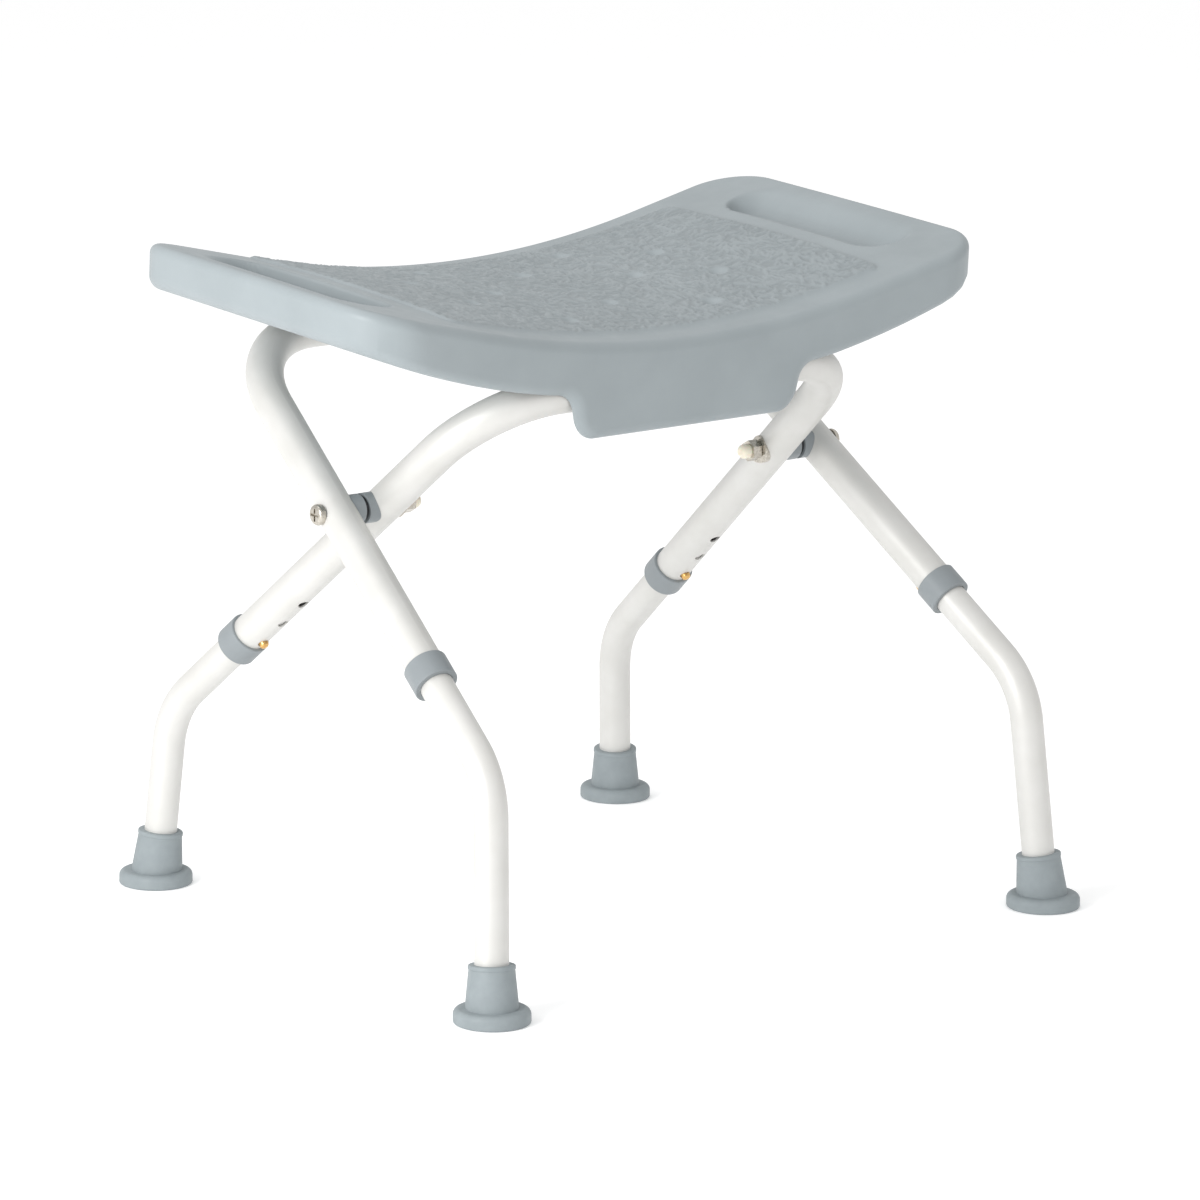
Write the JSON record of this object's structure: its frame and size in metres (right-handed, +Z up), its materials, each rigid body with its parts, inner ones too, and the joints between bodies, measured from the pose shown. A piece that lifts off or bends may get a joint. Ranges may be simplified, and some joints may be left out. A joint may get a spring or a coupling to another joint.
{
  "type": "shower stool",
  "caption": "Folding shower stool: dished rectangular plastic seat with hand grips and drain holes on crossed tubular U-frames with telescoping legs and rubber feet.",
  "frame": {"origin": "on the floor, midway between the four feet, straight under the pivot axis", "axes": "+Z up, X along the seat's length and the crossbars, -Y towards the near side with the seat's apron"},
  "size_m": [0.528, 0.462, 0.4563],
  "materials": {
    "seat_plastic": "satin blow-moulded",
    "grey_plastic": "fine matte",
    "foot_rubber": "matte",
    "aluminium_tube": "satin anodised",
    "steel": "zinc plated",
    "dark_steel": "oiled",
    "brass_button": "polished",
    "nylon_cap": "translucent ivory"
  },
  "bodies": {
    "outer_frame": {"outer_frame": "aluminium_tube", "outer_pivot_spacers": "grey_plastic", "outer_gap_washers": "dark_steel", "outer_collar_left": "grey_plastic", "outer_collar_right": "grey_plastic", "pivot_bolts": "steel", "pivot_nuts": "steel", "nut_caps": "nylon_cap"},
    "inner_frame": {"inner_frame": "aluminium_tube", "inner_pivot_spacers": "grey_plastic", "inner_gap_washers": "dark_steel", "inner_collar_left": "grey_plastic", "inner_collar_right": "grey_plastic", "saddle_washers": "steel"},
    "seat": {"seat": "seat_plastic", "hinge_strap_left": "grey_plastic", "hinge_strap_right": "grey_plastic", "strap_screws": "steel"},
    "outer_leg_left": {"outer_leg_left": "aluminium_tube", "outer_foot_left": "foot_rubber", "outer_foot_disc_left": "steel"},
    "outer_button_left": {"outer_button_clip_left": "brass_button"},
    "outer_leg_right": {"outer_leg_right": "aluminium_tube", "outer_foot_right": "foot_rubber", "outer_foot_disc_right": "steel"},
    "outer_button_right": {"outer_button_clip_right": "brass_button"},
    "inner_leg_left": {"inner_leg_left": "aluminium_tube", "inner_foot_left": "foot_rubber", "inner_foot_disc_left": "steel"},
    "inner_button_left": {"inner_button_clip_left": "brass_button"},
    "inner_leg_right": {"inner_leg_right": "aluminium_tube", "inner_foot_right": "foot_rubber", "inner_foot_disc_right": "steel"},
    "inner_button_right": {"inner_button_clip_right": "brass_button"}
  },
  "joints": [
    {"name": "frame_fold", "type": "hinge", "parent": "outer_frame", "child": "inner_frame", "pos_m": [0, 0, 0.292], "axis": [1, 0, 0], "range_deg": [-60, 0]},
    {"name": "seat_lift", "type": "hinge", "parent": "outer_frame", "child": "seat", "pos_m": [0, 0.13066, 0.38641], "axis": [1, 0, 0], "range_deg": [-90, 0]},
    {"name": "outer_leg_slide_left", "type": "slide", "parent": "outer_frame", "child": "outer_leg_left", "axis": [0.0941, 0.807, 0.5831], "range_m": [0, 0.05]},
    {"name": "outer_leg_slide_right", "type": "slide", "parent": "outer_frame", "child": "outer_leg_right", "axis": [-0.0941, 0.807, 0.5831], "range_m": [0, 0.05]},
    {"name": "inner_leg_slide_left", "type": "slide", "parent": "inner_frame", "child": "inner_leg_left", "axis": [0.0998, -0.756, 0.6469], "range_m": [0, 0.05]},
    {"name": "inner_leg_slide_right", "type": "slide", "parent": "inner_frame", "child": "inner_leg_right", "axis": [-0.0998, -0.756, 0.6469], "range_m": [0, 0.05]},
    {"name": "outer_button_press_left", "type": "slide", "parent": "outer_leg_left", "child": "outer_button_left", "axis": [0, -0.5857, 0.8106], "range_m": [0, 0.0048], "stiffness_N_per_m": 1500, "springref_m": -0.001, "deforming": ["outer_button_clip_left"]},
    {"name": "outer_button_press_right", "type": "slide", "parent": "outer_leg_right", "child": "outer_button_right", "axis": [0, -0.5857, 0.8106], "range_m": [0, 0.0048], "stiffness_N_per_m": 1500, "springref_m": -0.001, "deforming": ["outer_button_clip_right"]},
    {"name": "inner_button_press_left", "type": "slide", "parent": "inner_leg_left", "child": "inner_button_left", "axis": [0, 0.6501, 0.7598], "range_m": [0, 0.0048], "stiffness_N_per_m": 1500, "springref_m": -0.001, "deforming": ["inner_button_clip_left"]},
    {"name": "inner_button_press_right", "type": "slide", "parent": "inner_leg_right", "child": "inner_button_right", "axis": [0, 0.6501, 0.7598], "range_m": [0, 0.0048], "stiffness_N_per_m": 1500, "springref_m": -0.001, "deforming": ["inner_button_clip_right"]}
  ],
  "couplings": [
    {"joint": "seat_lift", "follows": "frame_fold", "ratio": 1.5}
  ]
}
